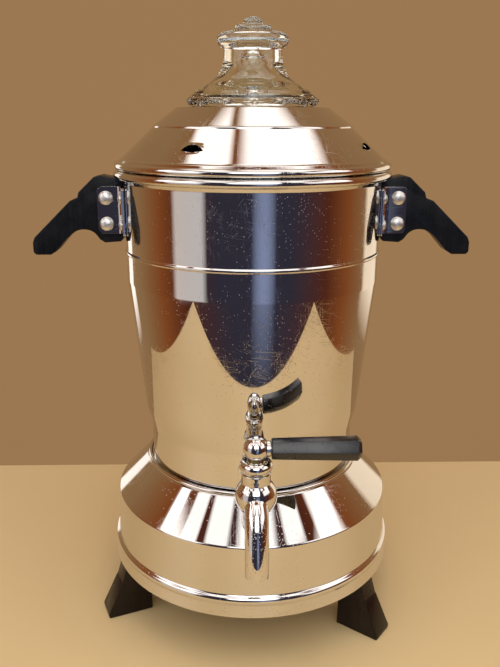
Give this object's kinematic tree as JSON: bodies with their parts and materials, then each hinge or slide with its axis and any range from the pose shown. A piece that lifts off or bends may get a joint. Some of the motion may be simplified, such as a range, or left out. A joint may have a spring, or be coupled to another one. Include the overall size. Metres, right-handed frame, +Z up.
{
  "type": "electric percolator urn",
  "caption": "Chromed electric coffee percolator urn with glass top, riveted bakelite side handles, swivel lever tap and flared base on bakelite feet.",
  "frame": {"origin": "on the urn's vertical axis at floor level, under the middle of its bounding box", "axes": "+Z up; -Y towards the tap at the front; +X to the right as seen from the front, the way the closed tap lever points"},
  "size_m": [0.2752, 0.2477, 0.38],
  "materials": {
    "chrome": "mirror chrome plate on spun brass, hairline scratches and fine pitting",
    "black_bakelite": "moulded black phenolic, satin gloss, worn edges",
    "brown_bakelite": "moulded very dark brown phenolic",
    "clear_glass": "pressed clear glass with a slight green tint",
    "aluminium": "spun aluminium, satin",
    "rivet": "domed rivet heads, softly polished",
    "brass": "turned brass, lightly tarnished",
    "steel": "plain plated steel",
    "ceramic": "unglazed steatite",
    "rubber": "woven-sleeved lead and gasket, matt"
  },
  "bodies": {
    "urn": {"base_shell": "chrome", "inlet_guard": "chrome", "vessel": "chrome", "tap_body": "chrome", "tap_washer": "chrome", "tap_bonnet": "chrome", "handle_bracket_left_front": "chrome", "handle_bracket_left_rear": "chrome", "handle_bracket_right_front": "chrome", "handle_bracket_right_rear": "chrome", "handle_left": "black_bakelite", "handle_right": "black_bakelite", "foot_left": "brown_bakelite", "foot_right": "brown_bakelite", "foot_rear": "brown_bakelite", "handle_rivet_left_lower": "rivet", "handle_rivet_left_upper": "rivet", "handle_rivet_right_lower": "rivet", "handle_rivet_right_upper": "rivet", "vessel_rivet_left_front_lower": "rivet", "vessel_rivet_left_front_upper": "rivet", "vessel_rivet_left_rear_lower": "rivet", "vessel_rivet_left_rear_upper": "rivet", "vessel_rivet_right_front_lower": "rivet", "vessel_rivet_right_front_upper": "rivet", "vessel_rivet_right_rear_lower": "rivet", "vessel_rivet_right_rear_upper": "rivet", "inlet_pin_left": "brass", "inlet_pin_right": "brass", "inlet_nut_left": "brass", "inlet_nut_right": "brass", "pump_well": "brass", "heater_nut": "brass", "heater_stud_left": "brass", "heater_stud_right": "brass", "tap_nut": "brass", "base_bottom_plate": "steel", "foot_screw_left": "steel", "foot_screw_right": "steel", "foot_screw_rear": "steel", "tie_rod": "steel", "tie_nut": "steel", "heater_pan": "steel", "inlet_block": "ceramic", "heating_element": "ceramic", "heater_lead_left": "rubber", "heater_lead_right": "rubber", "tap_gasket": "rubber"},
    "tap_valve": {"tap_plug": "brass", "tap_hub": "chrome", "tap_lever": "black_bakelite"},
    "lid": {"lid_shell": "chrome"},
    "glass": {"glass_top": "clear_glass"},
    "cover": {"basket_cover": "aluminium"},
    "basket": {"coffee_basket": "aluminium"},
    "pump": {"pump_tube": "aluminium", "pump_foot": "aluminium"}
  },
  "joints": [
    {"name": "tap_turn", "type": "hinge", "parent": "urn", "child": "tap_valve", "pos_m": [0, -0.097, 0.149], "axis": [0, 0, 1], "range_deg": [-90, 0]},
    {"name": "lid_lift", "type": "slide", "parent": "urn", "child": "lid", "axis": [0, 0, 1], "range_m": [0, 0.3]},
    {"name": "glass_twist", "type": "hinge", "parent": "lid", "child": "glass", "pos_m": [0, 0, 0.33], "axis": [0, 0, 1], "range_deg": [0, 45]},
    {"name": "cover_lift", "type": "slide", "parent": "urn", "child": "cover", "axis": [0, 0, 1], "range_m": [0, 0.285]},
    {"name": "basket_lift", "type": "slide", "parent": "urn", "child": "basket", "axis": [0, 0, 1], "range_m": [0, 0.255]},
    {"name": "pump_lift", "type": "slide", "parent": "urn", "child": "pump", "axis": [0, 0, 1], "range_m": [0, 0.225]}
  ],
  "couplings": [
    {"joint": "cover_lift", "follows": "lid_lift", "ratio": 0.95},
    {"joint": "basket_lift", "follows": "lid_lift", "ratio": 0.85},
    {"joint": "pump_lift", "follows": "lid_lift", "ratio": 0.75}
  ]
}
